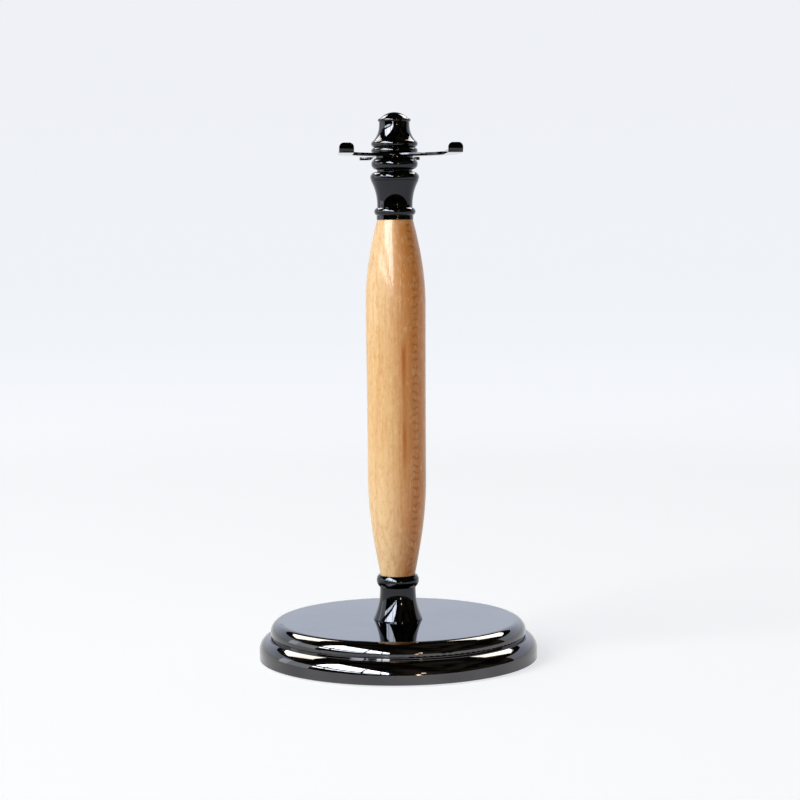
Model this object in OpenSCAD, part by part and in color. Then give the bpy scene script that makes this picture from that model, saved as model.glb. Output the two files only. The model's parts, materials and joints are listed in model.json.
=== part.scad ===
// Free-standing stand for a shaving brush and a razor: a weighted round foot, a turned wooden post
// between two turned metal couplers, and a flat double fork held under a screwed-on finial.
// Millimetres. Origin at the centre of the underside, +Z up, the brush fork opens towards -Y.

/* [Base] */
// Diameter of the lower step of the base
base_d = 89; // [85:0.5:95]
// Height of the flat top of the base above the surface it stands on
base_h = 12.4; // [12:0.1:13]
// How far the pad stands proud of the base casting
pad_proud = 0.5; // [0.3:0.1:0.8]
// Depth of the rebate that the pad sits in
pad_rebate = 1.2; // [1:0.1:1.5]

/* [Post] */
// Height of the wood, from the lower coupler to the upper one
post_h = 113; // [112:0.5:130]
// Largest radius of the wood, near its upper end
post_r = 9.5; // [9.3:0.1:12]
// Radius of the wood where it meets the couplers
post_end_r = 5.65; // [5.3:0.05:6]

/* [Couplers] */
// Height of the lower coupler
lower_h = 14.4; // [14:0.1:16]
// Height of the upper coupler
upper_h = 15.6; // [15.6:0.1:17]
// Radius of the foot of the lower coupler
foot_r = 7.8; // [7.6:0.1:8.2]
// Length of each coupler's spigot inside the tube
spigot_l = 8; // [6:0.5:12]

/* [Fork] */
// Thickness of the fork plate
plate_t = 1; // [0.9:0.1:1.2]
// Width of the brush fork's gap
brush_gap = 27.9; // [26:0.1:30]
// Width of each brush prong
brush_prong = 4.4; // [4:0.1:5]
// Distance from the post's axis to the ends of the brush prongs
brush_reach = 40; // [38:0.5:43]
// Height of the upturned ends of the brush prongs, plate included
ear_h = 3; // [2.8:0.1:3.4]
// Width of the razor fork's gap
razor_gap = 7.6; // [7:0.1:8]
// Width of each razor prong
razor_prong = 2.6; // [2.4:0.1:2.8]
// Distance from the post's axis to the far edge of the razor fork
razor_reach = 33; // [31:0.5:35]
// Half the width across the spread ends of the razor fork
razor_half_w = 9.95; // [9.6:0.05:10.4]

/* [Thread] */
// Radius of the screws and of the stud
screw_r = 2.5; // [2.4:0.05:2.6]
// Running clearance of the parts that turn on the stud
run_gap = 0.06; // [0.03:0.01:0.09]

/* [Hidden] */

// $fn of every round surface; the solids themselves are true curves
$fn = 96;
// Points along each drawn curve
steps = 24;

// Heights of the joints between the pieces, from the bottom up
z_casting = pad_proud;
z_pad_top = pad_proud + pad_rebate;
z_top = base_h;
z_wood = z_top + lower_h;
z_wood_end = z_wood + post_h;
z_ring = z_wood_end + upper_h;
seat_ring_h = 4.05;
clamp_ring_h = 1.95;
z_plate = z_ring + seat_ring_h;
z_plate_top = z_plate + plate_t;
z_finial = z_plate_top + clamp_ring_h;

// Base casting, hollow underneath around a boss with a pocket for the screw's head
base_r = base_d / 2;
step_r = base_r - 3.6;
shell_roof = 8;
hollow_r = 36;
boss_r = 13;
pocket_r = 9;
washer_seat = 7;
washer_t = 1;
pad_r = base_r - 2.5;

// Gaps: round the ballast, round the pad and round the base screw's shank
ballast_gap = 0.5;
pad_gap = 0.2;
shank_gap = 0.2;

// Tube in the wood
tube_r = 4;
tube_bore_r = 3.6;

// Screw and stud: reach into the coupler below, reach up into the finial, spare depth of the
// holes beyond them, and the chamfer on their ends
screw_reach = 9;
stud_reach_down = 15;
stud_reach_up = 6.4;
hole_spare = 0.4;
tip_h = 0.6;

// Rings, plate and finial where they meet
ring_r = 7.35;
ring_land_r = 6.2;
hub_r = 7.2;

// Spigot under the finial, and the swaged lip at its end that carries the clamp ring
spigot_r = 3.6;
lip_r = 4.3;
lip_gap = 0.2;
lip_top = 0.95;

// Fork plate
brush_in_r = brush_gap / 2;
brush_out_r = brush_in_r + brush_prong;
brush_root = 8.55;
brush_y = -brush_root - brush_in_r;
ear_y = -brush_reach;
razor_in_r = razor_gap / 2;
razor_out_r = razor_in_r + razor_prong;
razor_root = 8.5;
razor_y = razor_root + razor_in_r;
bend_r = 0.6;
horn_x = razor_half_w - razor_prong / 2;
horn_out_r = horn_x - razor_in_r;
horn_in_r = horn_x - razor_out_r;
horn_y = razor_reach - horn_out_r;

black_chrome = [0.08, 0.08, 0.085];
maple = [0.86, 0.72, 0.52];
brass = [0.78, 0.62, 0.32];
steel = [0.62, 0.63, 0.65];
iron = [0.25, 0.25, 0.26];
foam = [0.08, 0.08, 0.09];

// A point at part t of the way along the curve with end points a, d and handles b, c
function curve_at(a, b, c, d, t) =
    pow(1 - t, 3) * a + 3 * t * pow(1 - t, 2) * b + 3 * t * t * (1 - t) * c + pow(t, 3) * d;

function curve(a, b, c, d) = [for (i = [0:steps]) curve_at(a, b, c, d, i / steps)];

// Half of a turned profile: radius along X, height along Y
module band(r, z0, z1) {
    translate([0, z0]) square([r, z1 - z0]);
}

// A rounded moulding that stands out to r at height z, with the corner radius c
module bead(r, z, c) {
    translate([r - c, z]) circle(r = c);
    translate([0, z - c]) square([r - c, 2 * c]);
}

// What a hollow curve of radius c takes away above or below its narrowest point, r at height z
module cove(r, z, c) {
    translate([r + c, z]) circle(r = c);
}

module turned() {
    rotate_extrude() intersection() {
        children();
        translate([0, -1]) square([200, 400]);
    }
}

module bore(r, z0, z1) {
    translate([0, 0, z0]) cylinder(r = r, h = z1 - z0);
}

module ring(r_out, r_in, z0, z1) {
    difference() {
        bore(r_out, z0, z1);
        bore(r_in, z0 - 1, z1 + 1);
    }
}

// Outline of the base: a tall rounded lower step, a narrow groove and a rounded upper step
module base_profile() {
    lower_c = 4.46;
    lower_z = 3.2;
    lower_top = 7.3;
    upper_c = 3.6;
    upper_z = z_top - upper_c;
    groove_z = 7.9;
    groove_r = step_r - 0.5;
    ledge_r = base_r - 3;
    edge_c = 0.5;
    edge_z = groove_z + edge_c;
    intersection() {
        union() {
            band(base_r, z_casting, lower_z);
            bead(base_r, lower_z, lower_c);
        }
        band(base_r, z_casting, lower_top);
    }
    band(groove_r, lower_top - 1, edge_z);
    band(ledge_r, lower_top - 1, lower_top + 0.2);
    bead(step_r, edge_z, edge_c);
    intersection() {
        bead(step_r, upper_z, upper_c);
        band(step_r, edge_z, z_top);
    }
}

module base_disc() {
    color(black_chrome) difference() {
        turned() base_profile();
        bore(pad_r, z_casting - 1, z_pad_top);
        difference() {
            bore(hollow_r, z_casting, shell_roof);
            bore(boss_r, 0, shell_roof + 1);
        }
        bore(pocket_r, z_casting, washer_seat);
        bore(screw_r + shank_gap, washer_seat - 1, z_top + 1);
    }
}

module ballast_ring() {
    color(iron)
        ring(hollow_r - ballast_gap, boss_r + ballast_gap, z_pad_top + ballast_gap, shell_roof);
}

module base_pad() {
    color(foam) bore(pad_r - pad_gap, 0, z_pad_top);
}

// Pan-head screw with a hexagon socket, driven up through the base into the lower coupler
module base_screw() {
    head_r = 4.6;
    head_h = 2.8;
    head_z = washer_seat - 2 * washer_t - head_h;
    dome_r = 5.6;
    dome_cut = 0.4;
    socket_r = 1.75;
    socket_depth = 1.8;
    tip_z = z_top + screw_reach;
    color(steel) difference() {
        union() {
            intersection() {
                bore(head_r, head_z, head_z + head_h);
                translate([0, 0, head_z + dome_r - dome_cut]) sphere(r = dome_r);
            }
            bore(screw_r, head_z + head_h - 0.5, tip_z);
            translate([0, 0, tip_z]) cylinder(r1 = screw_r, r2 = screw_r - tip_h, h = tip_h);
        }
        translate([0, 0, head_z - 1]) cylinder(r = socket_r, h = socket_depth + 1, $fn = 6);
    }
}

// Split spring washer under the screw's head
module lock_washer() {
    split_w = 0.8;
    z_bottom = washer_seat - 2 * washer_t;
    color(steel) difference() {
        ring(4.3, screw_r + 0.15, z_bottom, z_bottom + washer_t);
        rotate([0, 0, 20]) translate([0, -split_w / 2, z_bottom - 1]) cube([6, split_w, washer_t + 2]);
    }
}

module flat_washer() {
    color(steel) ring(6, screw_r + 0.15, washer_seat - washer_t, washer_seat);
}

// Flared foot, narrow waist and a bead under the wood, with a spigot up into the tube
module lower_coupler() {
    waist_r = 5.72;
    waist_z = z_top + 9.7;
    bead_z = z_top + 12.6;
    flare_c = 22.2;
    color(black_chrome) difference() {
        turned() {
            difference() {
                band(foot_r, z_top, waist_z);
                cove(waist_r, waist_z, flare_c);
            }
            band(waist_r, waist_z - 0.1, bead_z);
            intersection() {
                bead(6.8, bead_z, 2.6);
                band(7, bead_z - 2.1, z_wood);
            }
            band(tube_bore_r, bead_z, z_wood + spigot_l);
        }
        bore(screw_r, z_top - 1, z_top + screw_reach + tip_h + hole_spare + 1);
    }
}

module brass_tube() {
    color(brass) ring(tube_r, tube_bore_r, z_wood, z_wood_end);
}

// Turned post: slender ends, a soft shoulder at the bottom and its widest point near the top
module post() {
    shoulder = [post_r - 0.22, z_wood + 30];
    widest = [post_r, z_wood_end - 26.2];
    foot = [post_end_r - 0.05, z_wood];
    neck = [post_end_r, z_wood_end];
    lower = curve(foot, foot + [1.15, 6.8], shoulder - [0.12, 13], shoulder);
    middle = curve(shoulder, shoulder + [0, 30], widest - [0, 9], widest);
    upper = curve(widest, widest + [0, 9], neck + [2.2, -8.2], neck);
    color(maple) difference() {
        rotate_extrude() polygon(concat([[0, z_wood]], lower, middle, upper, [[0, z_wood_end]]));
        bore(tube_r, z_wood - 1, z_wood_end + 1);
    }
}

// Collar, bead, flare and rounded shoulder above the wood, with a spigot down into the tube
module upper_coupler() {
    neck_r = 5.6;
    neck_z = z_wood_end + 4.7;
    shoulder_r = 7.73;
    shoulder_z = z_wood_end + 13.3;
    flare_top = shoulder_z - 1;
    color(black_chrome) difference() {
        turned() {
            band(5.8, z_wood_end, z_wood_end + 1.5);
            bead(6.55, z_wood_end + 2.55, 1.35);
            band(neck_r, z_wood_end, neck_z + 0.1);
            difference() {
                band(shoulder_r, neck_z, flare_top);
                cove(neck_r, neck_z, 15.6);
            }
            bead(shoulder_r, shoulder_z, 1.7);
            band(5.6, shoulder_z, z_ring);
            band(tube_bore_r, z_wood_end - spigot_l, z_wood_end + 1);
        }
        bore(screw_r, z_ring - stud_reach_down - 1, z_ring + 1);
    }
}

// Half-round ring that the fork plate rests on
module seat_ring() {
    bead_c = 1.85;
    color(black_chrome) difference() {
        turned() {
            bead(ring_r, z_ring + bead_c, bead_c);
            band(ring_land_r - 0.3, z_ring + bead_c, z_plate);
        }
        bore(screw_r, z_ring - 1, z_plate + 1);
    }
}

// Threaded stud from the upper coupler up through the rings and the plate into the finial
module top_stud() {
    tip_z = z_finial + stud_reach_up - tip_h;
    color(steel) {
        bore(screw_r, z_ring - stud_reach_down, tip_z);
        translate([0, 0, tip_z]) cylinder(r1 = screw_r, r2 = screw_r - tip_h, h = tip_h);
    }
}

// Brush side of the plate, seen from above: a hub and a wide U with straight prongs
module brush_outline() {
    prong_end = ear_y + bend_r + plate_t;
    prong_l = brush_y - prong_end;
    circle(r = hub_r);
    difference() {
        union() {
            translate([0, brush_y]) circle(r = brush_out_r);
            translate([-brush_out_r, prong_end]) square([2 * brush_out_r, prong_l]);
        }
        translate([0, brush_y]) circle(r = brush_in_r);
        translate([-brush_in_r, prong_end - 20]) square([brush_gap, prong_l + 20]);
        translate([-2 * brush_out_r, prong_end - 20]) square([4 * brush_out_r, 20]);
    }
}

// Razor side of the plate, seen from above: a narrow gap between two prongs that spread to round ends
module razor_outline() {
    difference() {
        translate([-razor_out_r, 0]) square([2 * razor_out_r, horn_y]);
        translate([0, razor_y]) circle(r = razor_in_r);
        translate([-razor_in_r, razor_y]) square([razor_gap, razor_reach]);
    }
    for (side = [0, 1]) {
        mirror([side, 0]) intersection() {
            translate([horn_x, horn_y]) difference() {
                circle(r = horn_out_r);
                circle(r = horn_in_r);
            }
            translate([0, horn_y]) square([horn_x, horn_out_r + 1]);
        }
        mirror([side, 0]) translate([horn_x, razor_reach - razor_prong / 2])
            circle(r = razor_prong / 2);
    }
}

// End of a brush prong turned up through a quarter bend into a short tab with round corners.
// It runs out along X and stands up along Z.
module upturned_end(width, height) {
    out_r = bend_r + plate_t;
    corner_r = height - out_r;
    rotate([90, 0, 0]) linear_extrude(width, center = true) intersection() {
        translate([0, out_r]) difference() {
            circle(r = out_r);
            circle(r = bend_r);
        }
        square([out_r, out_r]);
    }
    translate([bend_r, 0, out_r]) rotate([90, 0, 90]) linear_extrude(plate_t) intersection() {
        union() {
            translate([width / 2 - corner_r, 0]) circle(r = corner_r);
            translate([corner_r - width / 2, 0]) circle(r = corner_r);
            translate([corner_r - width / 2, 0]) square([width - 2 * corner_r, corner_r]);
        }
        translate([-width, 0]) square([2 * width, 2 * corner_r]);
    }
}

// One stamped plate: a wide fork for the brush in front and a narrow one for the razor behind
module fork_plate() {
    color(black_chrome) difference() {
        union() {
            translate([0, 0, z_plate]) linear_extrude(plate_t) {
                brush_outline();
                razor_outline();
            }
            for (side = [-1, 1]) {
                translate([side * (brush_in_r + brush_prong / 2), ear_y + bend_r + plate_t, z_plate])
                    rotate([0, 0, -90]) upturned_end(brush_prong, ear_h);
            }
        }
        bore(screw_r + run_gap, z_plate - 1, z_plate_top + 1);
    }
}

// Half-round ring over the plate, held on the finial's spigot so that it lifts with it but need not turn
module clamp_ring() {
    bead_c = 0.97;
    color(black_chrome) difference() {
        turned() {
            bead(ring_r, z_plate_top + bead_c, bead_c);
            band(ring_land_r, z_plate_top, z_finial);
        }
        bore(spigot_r + 0.1, z_plate_top - 1, z_finial + 1);
        bore(lip_r + 0.2, z_plate_top - 1, z_plate_top + lip_top + 0.1);
    }
}

// Bell-shaped finial with a lip and a domed cap, bored from below for the stud
module finial() {
    neck_r = 4.79;
    neck_z = z_finial + 7.1;
    lip_z = z_finial + 8.55;
    cap_r = 6.06;
    cap_z = z_finial + 11.1 - cap_r;
    bead_z = z_finial + 1.15;
    color(black_chrome) difference() {
        turned() {
            band(ring_land_r, z_finial, bead_z);
            bead(ring_r, bead_z, 1.1);
            difference() {
                band(7.2, bead_z, neck_z);
                cove(neck_r, neck_z, 7.3);
            }
            band(neck_r, neck_z - 0.1, lip_z);
            bead(5.21, lip_z, 0.55);
            intersection() {
                translate([0, cap_z]) circle(r = cap_r);
                band(4.7, lip_z, z_finial + 12);
            }
            band(spigot_r, z_plate_top + 0.5, z_finial + 0.5);
            band(lip_r, z_plate_top + lip_gap, z_plate_top + lip_top);
        }
        bore(screw_r + run_gap, z_plate_top - 1, z_finial + stud_reach_up + hole_spare);
    }
}

base_disc();
ballast_ring();
base_pad();
base_screw();
lock_washer();
flat_washer();
lower_coupler();
brass_tube();
post();
upper_coupler();
seat_ring();
top_stud();
fork_plate();
clamp_ring();
finial();
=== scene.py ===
"""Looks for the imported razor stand, around the CAD frame: materials, edges, studio and camera, in metres."""

import json
import math

import bmesh
import bpy
from mathutils import Matrix, Vector


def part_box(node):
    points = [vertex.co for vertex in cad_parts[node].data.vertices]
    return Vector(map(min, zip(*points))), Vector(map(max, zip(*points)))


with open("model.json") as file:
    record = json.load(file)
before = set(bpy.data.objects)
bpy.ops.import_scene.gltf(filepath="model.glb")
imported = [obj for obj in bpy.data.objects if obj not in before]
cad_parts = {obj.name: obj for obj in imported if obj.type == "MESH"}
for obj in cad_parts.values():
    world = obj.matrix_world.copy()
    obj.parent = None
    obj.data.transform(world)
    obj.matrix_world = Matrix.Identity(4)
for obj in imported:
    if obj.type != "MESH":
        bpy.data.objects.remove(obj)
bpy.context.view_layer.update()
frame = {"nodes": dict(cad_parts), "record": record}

MM = 0.001

# ---------------------------------------------------------------------------------------------
# Node helpers. A colour is a tuple of linear red, green and blue, or a socket
# ---------------------------------------------------------------------------------------------


def plug(tree, socket, value):
    """Links value to the socket if it is an output, and otherwise sets it."""
    if isinstance(value, bpy.types.NodeSocket):
        tree.links.new(value, socket)
    else:
        socket.default_value = value


def add(tree, kind, inputs=None, **settings):
    """A new node of that kind, with its settings and its inputs by name or number."""
    node = tree.nodes.new(kind)
    for name, value in settings.items():
        setattr(node, name, value)
    for name, value in (inputs or {}).items():
        plug(tree, node.inputs[name], value)
    return node


def maths(tree, operation, a, b=0.0):
    return add(tree, "ShaderNodeMath", {0: a, 1: b}, operation=operation).outputs[0]


def times(tree, a, b):
    return maths(tree, "MULTIPLY", a, b)


def plus(tree, a, b):
    return maths(tree, "ADD", a, b)


def minus(tree, a, b):
    return maths(tree, "SUBTRACT", a, b)


def ramp(tree, value, low, high, to_low=0.0, to_high=1.0):
    """value carried smoothly from the range low..high to to_low..to_high."""
    node = add(
        tree,
        "ShaderNodeMapRange",
        {"Value": value, "From Min": low, "From Max": high, "To Min": to_low, "To Max": to_high},
        interpolation_type="SMOOTHSTEP",
    )
    return node.outputs["Result"]


def mix_colour(tree, share, a, b):
    """Colour a turned into colour b by share."""
    node = add(tree, "ShaderNodeMix", data_type="RGBA")
    plug(tree, node.inputs["Factor"], share)
    for name, colour in (("A", a), ("B", b)):
        plug(tree, node.inputs[name], (*colour, 1.0) if isinstance(colour, tuple) else colour)
    return node.outputs["Result"]


def object_place(tree):
    """The object's own coordinates in metres, which are the CAD frame's."""
    return add(tree, "ShaderNodeTexCoord").outputs["Object"]


def millimetres(tree, stretch=(1, 1, 1)):
    """The object's own coordinates in millimetres, times stretch."""
    scale = [s / MM for s in stretch]
    return add(tree, "ShaderNodeMapping", {"Vector": object_place(tree), "Scale": scale}).outputs[0]


def noise(tree, vector, scale, detail=3.0, roughness=0.5, distortion=0.0):
    inputs = {"Vector": vector, "Scale": scale, "Detail": detail, "Roughness": roughness}
    node = add(tree, "ShaderNodeTexNoise", {**inputs, "Distortion": distortion})
    return node.outputs["Fac"]


def stretched_noise(tree, stretch, detail=3.0, roughness=0.5, distortion=0.0):
    """Noise whose features number about stretch to the millimetre along each axis."""
    return noise(tree, millimetres(tree, stretch), 1.0, detail, roughness, distortion)


def empty_material(name):
    """A material with no nodes yet."""
    material = bpy.data.materials.new(name)
    material.use_nodes = True
    material.node_tree.nodes.clear()
    return material, material.node_tree


def show_surface(tree, shader):
    """Ends a node tree with its output."""
    plug(tree, add(tree, "ShaderNodeOutputMaterial").inputs["Surface"], shader.outputs[0])


# ---------------------------------------------------------------------------------------------
# Materials
# ---------------------------------------------------------------------------------------------


def new_material(name, **sockets):
    """A material with a Principled shader, whose uniform values are set on its own sockets."""
    material = bpy.data.materials.new(name)
    material.use_nodes = True
    tree = material.node_tree
    shader = tree.nodes["Principled BSDF"]
    for socket, value in sockets.items():
        shader.inputs[socket.replace("_", " ").title().replace("Ior", "IOR")].default_value = value
    return material, tree, shader


def dress(tree, shader, colour, roughness, height, relief):
    """Links a shader's colour, its roughness, and a bump that is relief millimetres deep."""
    bump = add(tree, "ShaderNodeBump", {"Height": height, "Distance": relief * MM})
    plug(tree, shader.inputs["Base Color"], colour)
    plug(tree, shader.inputs["Roughness"], roughness)
    plug(tree, shader.inputs["Normal"], bump.outputs[0])


def make_black_chrome(name, dark, pale):
    """Mirror-bright dark plating with faint polishing lines, hand smudges and slight cloudiness."""
    material, tree, shader = new_material(name, metallic=1.0)
    place = millimetres(tree)
    clouds = noise(tree, place, 0.05, 2.0)
    smudges = noise(tree, place, 0.16, 5.0, 0.6, 0.8)
    polish = stretched_noise(tree, (0.6, 0.6, 9.0), 4.0, 0.65)
    colour = mix_colour(tree, ramp(tree, clouds, 0.35, 0.65), dark, pale)
    smudged = ramp(tree, smudges, 0.42, 0.72, 0.030, 0.085)
    scratched = ramp(tree, polish, 0.5, 0.8, 0.0, 0.012)
    dress(tree, shader, colour, plus(tree, smudged, scratched), polish, 0.0012)
    return material


# The maple's colours. Its figure is placed by the turn about the post, in radians from the front
# towards +X, and by the height, in millimetres
SAPWOOD = (0.78, 0.49, 0.205)
# Paler towards the foot, and at the top a painted sheen of the lacquer
PALE_FOOT_AND_TOP_SHEEN = (0.90, 0.66, 0.38)
HEARTWOOD = (0.66, 0.215, 0.036)
GROWTH_RING = (0.50, 0.19, 0.050)
LADDER = (0.38, 0.105, 0.020)
HEART_LINE = (0.52, 0.125, 0.020)
LADDER_TURN = 0.66
HEART_LINE_TURN = 0.20
POST_FOOT, POST_TOP = [corner.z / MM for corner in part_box("post")]


def maple_ground(tree, turn, height, wander):
    """The change from the pale sapwood side to the orange heart side, paler towards the foot, and paled at the
    top by a painted sheen.
    """
    swung = plus(tree, turn, times(tree, minus(tree, wander, 0.5), 0.9))
    heart = ramp(tree, swung, -0.75, 0.75)
    back = ramp(tree, maths(tree, "ABSOLUTE", swung), 2.2, 3.0, 1.0, 0.25)
    side = ramp(tree, turn, 0.80, 1.35, 1.0, 0.60)
    heart = times(tree, times(tree, heart, back), side)
    foot = ramp(tree, height, POST_FOOT + 14, POST_FOOT + 50, 0.6, 0.0)
    # painted sheen: paler towards the top of the post, standing in for the window's light shining in the
    # lacquer
    top = ramp(tree, height, POST_TOP - 45, POST_TOP - 20, 0.0, 0.35)
    sapwood_and_top_sheen = mix_colour(tree, maths(tree, "MAXIMUM", foot, top), SAPWOOD, PALE_FOOT_AND_TOP_SHEEN)
    return mix_colour(tree, heart, sapwood_and_top_sheen, HEARTWOOD)


def maple_rings(tree, colour, across, depth):
    """Growth rings, drawn out along the grain."""
    warp = stretched_noise(tree, (0.12, 0.12, 0.012))
    ring_at = plus(tree, times(tree, across, 0.55), times(tree, warp, 7.0))
    ring_at = plus(tree, ring_at, times(tree, depth, 0.16))
    rings = ramp(tree, maths(tree, "PINGPONG", ring_at, 1.0), 0.62, 1.0)
    return mix_colour(tree, times(tree, rings, 0.20), colour, GROWTH_RING)


def maple_figure(tree, colour, value, high, dark_share, dark, low, pale_share, pale):
    """The colour darkened where value is in the high range or over it, and paled in the low or under."""
    colour = mix_colour(tree, ramp(tree, value, *high, 0.0, dark_share), colour, dark)
    return mix_colour(tree, ramp(tree, value, *low, pale_share, 0.0), colour, pale)


def maple_ladder(tree, colour, turn, height):
    """A ladder of cross figure down the heart side."""
    aside = maths(tree, "ABSOLUTE", minus(tree, turn, LADDER_TURN))
    band = ramp(tree, aside, 0.04, 0.22, 1.0, 0.0)
    uneven = stretched_noise(tree, (0.25, 0.25, 0.10), 2.0)
    rung_at = plus(tree, times(tree, height, 0.80), times(tree, uneven, 5.0))
    rungs = ramp(tree, maths(tree, "PINGPONG", rung_at, 1.0), 0.45, 0.95)
    patches = ramp(tree, stretched_noise(tree, (0.05, 0.05, 0.06), 2.0), 0.30, 0.50, 0.35, 1.0)
    rungs = times(tree, times(tree, rungs, band), patches)
    return mix_colour(tree, times(tree, rungs, 0.62), colour, LADDER)


def maple_heart_line(tree, colour, turn, height, wander):
    """One narrow, broken line of heartwood near the middle of the front."""
    wavy = plus(tree, turn, times(tree, minus(tree, wander, 0.5), 0.12))
    aside = maths(tree, "ABSOLUTE", minus(tree, wavy, HEART_LINE_TURN))
    line = ramp(tree, aside, 0.02, 0.12, 1.0, 0.0)
    above_foot = ramp(tree, height, POST_FOOT + 28, POST_FOOT + 45)
    below_top = ramp(tree, height, POST_TOP - 42, POST_TOP - 36, 1.0, 0.0)
    broken = ramp(tree, stretched_noise(tree, (0.1, 0.1, 0.05), 2.0), 0.36, 0.60, 0.25, 1.0)
    line = times(tree, times(tree, line, times(tree, above_foot, below_top)), broken)
    return mix_colour(tree, times(tree, line, 0.85), colour, HEART_LINE)


def make_maple():
    """Turned maple under clear lacquer, pale on one side and orange on the other."""
    material, tree, shader = new_material(
        "lacquered_maple", coat_weight=0.35, coat_roughness=0.09, ior=1.5, specular_ior_level=0.2
    )
    across, depth, height = add(tree, "ShaderNodeSeparateXYZ", {0: millimetres(tree)}).outputs
    turn = maths(tree, "ARCTAN2", across, times(tree, depth, -1.0))
    wander = stretched_noise(tree, (0.03, 0.03, 0.018))
    colour = maple_ground(tree, turn, height, wander)
    colour = maple_rings(tree, colour, across, depth)

    # fine streaks along the grain, short flecks, and a broader mottle
    streaks = stretched_noise(tree, (1.3, 1.3, 0.045), 6.0, 0.62)
    flecks = stretched_noise(tree, (1.5, 1.5, 0.55), 3.0, 0.6)
    mottle = stretched_noise(tree, (0.55, 0.55, 0.28), 4.0, 0.7, 0.6)
    for value, high, dark_share, dark, low, pale_share, pale in [
        (streaks, (0.50, 0.72), 0.42, (0.62, 0.265, 0.075), (0.30, 0.50), 0.30, (0.84, 0.58, 0.28)),
        (flecks, (0.54, 0.66), 0.42, (0.66, 0.265, 0.065), (0.30, 0.46), 0.34, (0.90, 0.63, 0.32)),
        (mottle, (0.50, 0.68), 0.38, (0.64, 0.275, 0.075), (0.32, 0.48), 0.26, (0.88, 0.61, 0.31)),
    ]:
        colour = maple_figure(tree, colour, value, high, dark_share, dark, low, pale_share, pale)

    colour = maple_ladder(tree, colour, turn, height)
    colour = maple_heart_line(tree, colour, turn, height, wander)
    grain = plus(tree, times(tree, streaks, 0.7), times(tree, flecks, 0.3))
    dress(tree, shader, colour, ramp(tree, flecks, 0.3, 0.7, 0.36, 0.50), grain, 0.012)
    return material


def make_metal(name, dark, pale, smoothest, stretch, relief):
    """A plain working metal: two tones, fine drawn or cast texture, and uneven roughness."""
    material, tree, shader = new_material(name, metallic=1.0)
    tone = noise(tree, millimetres(tree), 0.4, 4.0, 0.6)
    texture = stretched_noise(tree, stretch, 5.0, 0.65)
    worn = plus(tree, times(tree, tone, 0.6), times(tree, texture, 0.4))
    colour = mix_colour(tree, ramp(tree, worn, 0.35, 0.65), dark, pale)
    roughness = ramp(tree, texture, 0.3, 0.7, smoothest, smoothest + 0.15)
    dress(tree, shader, colour, roughness, texture, relief)
    return material


def make_foam_rubber():
    """Matt closed-cell foam with a fine cell pattern."""
    material, tree, shader = new_material("closed_cell_foam", sheen_weight=0.15)
    cells = add(tree, "ShaderNodeTexVoronoi", {"Vector": millimetres(tree), "Scale": 2.4})
    cells = cells.outputs["Distance"]
    dust = noise(tree, millimetres(tree), 0.3, 5.0, 0.6)
    colour = mix_colour(tree, ramp(tree, dust, 0.4, 0.7), (0.018, 0.018, 0.019), (0.045, 0.044, 0.042))
    dress(tree, shader, colour, ramp(tree, cells, 0.1, 0.5, 0.78, 0.92), cells, 0.05)
    return material


finishes = {
    # the turned pieces' copy of the plating is the darker one: painted darker reflection
    "black_chrome": make_black_chrome("black_chrome_turned_painted_dark", (0.034, 0.035, 0.040), (0.046, 0.045, 0.048)),
    "maple": make_maple(),
    "brass": make_metal("drawn_brass", (0.62, 0.40, 0.13), (0.82, 0.58, 0.24), 0.22, (4, 4, 0.1), 0.01),
    "zinc_steel": make_metal(
        "zinc_plated_steel", (0.50, 0.51, 0.54), (0.70, 0.71, 0.72), 0.24, (2, 2, 6), 0.01
    ),
    "cast_iron": make_metal(
        "rough_cast_iron", (0.10, 0.10, 0.10), (0.22, 0.20, 0.19), 0.55, (1.5, 1.5, 1.5), 0.12
    ),
    "foam_rubber": make_foam_rubber(),
}

# One plating in two copies: the base casting's is paler and a little browner than the turned pieces'. This
# paints the brighter reflections on the base and the darker ones on the turned pieces
base_plating_painted_bright = make_black_chrome("black_chrome_cast_painted_bright", (0.082, 0.081, 0.086), (0.106, 0.102, 0.102))

slot_of = {part["node"]: part["material_slot"] for part in frame["record"]["subparts"]}
for name, node in frame["nodes"].items():
    node.data.materials.clear()
    node.data.materials.append(base_plating_painted_bright if name == "base_disc" else finishes[slot_of[name]])

# ---------------------------------------------------------------------------------------------
# Edges: the stamped plate is tumbled before plating, so its edges are broken
# ---------------------------------------------------------------------------------------------
EDGE_WIDTH = 0.16 * MM


def soften_edges(node, width):
    """Rounds a CAD node's sharp edges with modifiers. Its own mesh stays as it is."""
    weld = node.modifiers.new("weld", "WELD")
    weld.merge_threshold = 0.0005 * MM
    bevel = node.modifiers.new("edge", "BEVEL")
    bevel.width = width
    bevel.segments = 3
    bevel.limit_method = "ANGLE"
    bevel.angle_limit = math.radians(40)
    bevel.harden_normals = True


soften_edges(frame["nodes"]["fork_plate"], EDGE_WIDTH)

# ---------------------------------------------------------------------------------------------
# Studio: pale floor and surroundings, a darker room in front for the metal to mirror, painted shade on the
# floor in front that only reflections see, soft lights
# ---------------------------------------------------------------------------------------------

# Colours of the surroundings at the horizon, above it and high up, and of the floor near the object
HORIZON = (0.870, 0.893, 0.938)
PALE = (0.862, 0.880, 0.920)
HIGH = (0.950, 1.040, 1.240)
NEAR = (1.275, 1.300, 1.340)

FLOOR_RADIUS = 9.0
FLOOR_SHARE = 0.45  # of the floor's look near the object that is paper in the light, the rest its glow
SHEET_FRONT = 0.35  # how far the pale sheet reaches in front of the object, as the metal mirrors it
ROOM_RADIUS = 8.0
# reach of the painted shade on the floor in front, which only reflections see
FRONT_SHADE_REACH = 7.0
WALL = 1.3  # distance of the window wall, on the left
AIM = (0, 0, 0.08)  # the middle of the object, which the free-standing lights face


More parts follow.
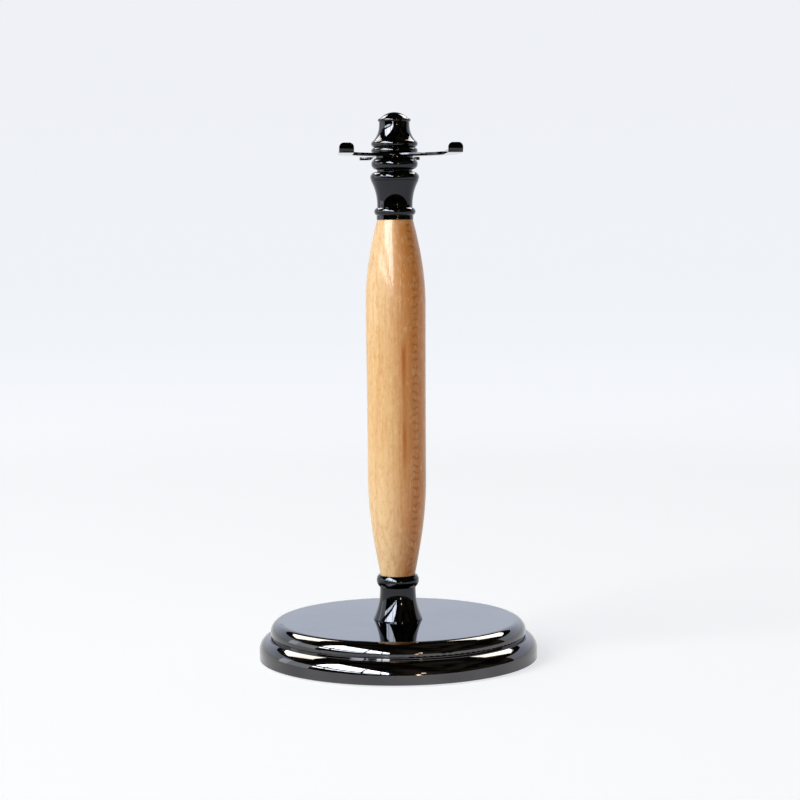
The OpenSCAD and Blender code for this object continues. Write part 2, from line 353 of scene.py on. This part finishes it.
def make_surroundings():
    """A pale backdrop all round that changes only with height."""
    world = bpy.data.worlds.new("pale_surroundings")
    bpy.context.scene.world = world
    world.use_nodes = True
    tree = world.node_tree
    way = add(tree, "ShaderNodeTexCoord").outputs["Generated"]
    up = add(tree, "ShaderNodeSeparateXYZ", {0: way}).outputs[2]
    colour = mix_colour(tree, ramp(tree, up, -0.01, 0.07), HORIZON, PALE)
    colour = mix_colour(tree, ramp(tree, up, 0.13, 0.20), colour, HIGH)
    plug(tree, tree.nodes["Background"].inputs["Color"], colour)


def new_object(name, shape, material):
    """An object made from a finished bmesh, with that material."""
    mesh = bpy.data.meshes.new(name)
    shape.to_mesh(mesh)
    shape.free()
    mesh.materials.append(material)
    made = bpy.data.objects.new(name, mesh)
    bpy.context.scene.collection.objects.link(made)
    return made


def make_floor():
    """A wide pale table top with a trace of paper tooth. Its glow lets it meet the backdrop unseen."""
    material, tree = empty_material("pale_paper")
    tooth = noise(tree, millimetres(tree), 0.8, 4.0, 0.6)
    colour = mix_colour(tree, tooth, (0.94, 0.94, 0.945), (1.0, 1.0, 1.0))
    away = add(tree, "ShaderNodeVectorMath", {0: object_place(tree)}, operation="LENGTH")
    near = ramp(tree, maths(tree, "DIVIDE", 1.0, away.outputs["Value"]), 0.125, 2.0)
    paper = add(tree, "ShaderNodeBsdfDiffuse", {"Color": colour})
    glow = add(tree, "ShaderNodeEmission", {"Color": mix_colour(tree, near, HORIZON, NEAR)})
    share = times(tree, near, FLOOR_SHARE)
    show_surface(tree, add(tree, "ShaderNodeMixShader", {0: share, 1: glow.outputs[0], 2: paper.outputs[0]}))

    shape = bmesh.new()
    bmesh.ops.create_circle(shape, cap_ends=True, cap_tris=False, segments=96, radius=FLOOR_RADIUS)
    new_object("floor", shape, material)


def make_dim_material(name, scale, dark, pale):
    """A dim surface in uneven patches, the same in any light."""
    material, tree = empty_material(name)
    patches = noise(tree, object_place(tree), scale, 3.0)
    colour = mix_colour(tree, ramp(tree, patches, 0.4, 0.65), dark, pale)
    show_surface(tree, add(tree, "ShaderNodeEmission", {"Color": colour, "Strength": 1.0}))
    return material


def direction(azimuth, elevation):
    """Unit vector at azimuth degrees round from -Y towards +X, and elevation degrees up."""
    a, e = math.radians(azimuth), math.radians(elevation)
    return Vector((math.sin(a) * math.cos(e), -math.cos(a) * math.cos(e), math.sin(e)))


def make_dark_room():
    """Dark walls and ceiling that the camera doesn't see, open at the back where the backdrop stands."""
    steps_round, steps_up = 72, 24
    lowest, highest = 0.2, 89.9
    open_from, open_below = 104.0, 27.0

    def turn_at(step):
        return 360.0 * step / steps_round - 180.0

    def elevation_at(step):
        return lowest + (90.0 - lowest) * step / steps_up

    shape = bmesh.new()
    rows = [
        [
            shape.verts.new(direction(turn_at(j), min(elevation_at(i), highest)) * ROOM_RADIUS)
            for j in range(steps_round)
        ]
        for i in range(steps_up + 1)
    ]
    for i in range(steps_up):
        for j in range(steps_round):
            if abs(turn_at(j + 0.5)) > open_from and elevation_at(i + 0.5) < open_below:
                continue
            k = (j + 1) % steps_round
            shape.faces.new((rows[i][j], rows[i][k], rows[i + 1][k], rows[i + 1][j]))
    wall = make_dim_material("dark_wall", 0.35, (0.010, 0.009, 0.008), (0.10, 0.085, 0.065))
    room = new_object("dark_room", shape, wall)
    room.visible_camera = False


def make_front_shade():
    """Painted shade on the floor in front: a dim, patchy sheet past the front edge of the pale sheet. Only
    reflections see it.
    """
    shape = bmesh.new()
    sides = (-FRONT_SHADE_REACH, FRONT_SHADE_REACH)
    corners = [(x, -FRONT_SHADE_REACH) for x in sides] + [(x, -SHEET_FRONT) for x in reversed(sides)]
    shape.faces.new([shape.verts.new((x, y, 0.5 * MM)) for x, y in corners])
    front_shade_material = make_dim_material("dim_front_shade", 1.5, (0.008, 0.007, 0.006), (0.07, 0.05, 0.035))
    front = new_object("front_shade_in_reflections", shape, front_shade_material)
    front.visible_camera = False
    front.visible_diffuse = False
    front.visible_shadow = False


def area_light(name, place, aim, size, glow, colour, mirrored=True):
    """A rectangular panel of that glow, in the world's units, either mirrored in gloss or lighting."""
    data = bpy.data.lights.new(name, "AREA")
    data.shape = "RECTANGLE"
    data.size, data.size_y = size
    data.energy = glow * size[0] * size[1] * math.pi
    data.color = colour
    made = bpy.data.objects.new(name, data)
    made.location = place
    made.rotation_mode = "QUATERNION"
    made.rotation_quaternion = (Vector(aim) - Vector(place)).to_track_quat("-Z", "Y")
    bpy.context.scene.collection.objects.link(made)
    made.visible_camera = False
    made.visible_glossy = mirrored
    made.visible_diffuse = not mirrored


def wall_light(name, y_range, z_range, glow, colour):
    """A pane in the left wall, which runs along Y and faces the object."""
    place = Vector((-WALL, sum(y_range) / 2, sum(z_range) / 2))
    size = (abs(y_range[1] - y_range[0]), abs(z_range[1] - z_range[0]))
    area_light(name, place, place + Vector((WALL, 0, 0)), size, glow, colour)


def make_window_wall():
    """Panes in two rows with bars between them, in multiples of WALL, and the pale wall beside them."""
    rows = [((0.30, 0.42), 14.0), ((0.57, 1.55), 24.0)]
    bays = [(-5.2, -3.3), (-3.1, -1.62), (-1.5, -0.46), (-0.42, -0.20)]
    for row, ((low, high), glow) in enumerate(rows):
        for bay, (far, near) in enumerate(bays):
            y_range, z_range = (far * WALL, near * WALL), (low * WALL, high * WALL)
            wall_light(f"window_{row}_{bay}", y_range, z_range, glow, (0.90, 0.96, 1.0))
    wall_light("left_wall", (-0.24, 0.62), (0.02, 0.55), 1.7, (0.88, 0.96, 1.0))


def make_lamps():
    """One broad soft key for the window's light, two warm lamps in front, two softboxes high behind."""
    area_light("key", direction(-58, 36) * 2.4, AIM, (1.4, 1.4), 7.6, (1.0, 0.99, 0.97), mirrored=False)
    for index, (azimuth, elevation) in enumerate([(13, 1.6), (17, 10)]):
        place = direction(azimuth, elevation) * 3.0
        area_light(f"lamp_{index}", place, AIM, (0.16, 0.16 * 0.7), 30.0, (1.0, 0.80, 0.52))
    for side in (-1, 1):
        place = direction(side * 140, 43) * 2.2
        area_light(f"softbox_{side}", place, AIM, (1.05, 0.75), 10.0, (1.0, 0.96, 0.86))


bpy.context.scene.view_settings.view_transform = "Standard"
make_surroundings()
make_floor()
make_dark_room()
make_front_shade()
make_window_wall()
make_lamps()

# ---------------------------------------------------------------------------------------------
# Camera: angles in degrees, and a focal length that is a share of the sensor's width
# ---------------------------------------------------------------------------------------------
CAMERA_TURN = -2.9
CAMERA_AWAY = 0.6544
CAMERA_HEIGHT = 0.1376
CAMERA_PITCH = -4.795
CAMERA_ROLL = -0.45
CAMERA_SHIFT = 0.0045
FOCAL_SHARE = 2.583


def make_camera():
    data = bpy.data.cameras.new("camera")
    data.sensor_width = 36.0
    data.lens = data.sensor_width * FOCAL_SHARE
    data.clip_start, data.clip_end = 0.01, 100.0
    data.shift_x = CAMERA_SHIFT
    made = bpy.data.objects.new("camera", data)
    made.location = direction(CAMERA_TURN, 0.0) * CAMERA_AWAY + Vector((0, 0, CAMERA_HEIGHT))
    look = Matrix.Rotation(math.radians(CAMERA_TURN), 3, "Z")
    look = look @ Matrix.Rotation(math.radians(90.0 + CAMERA_PITCH), 3, "X")
    look = look @ Matrix.Rotation(math.radians(CAMERA_ROLL), 3, "Z")
    made.rotation_euler = look.to_euler()
    bpy.context.scene.collection.objects.link(made)
    bpy.context.scene.camera = made


make_camera()
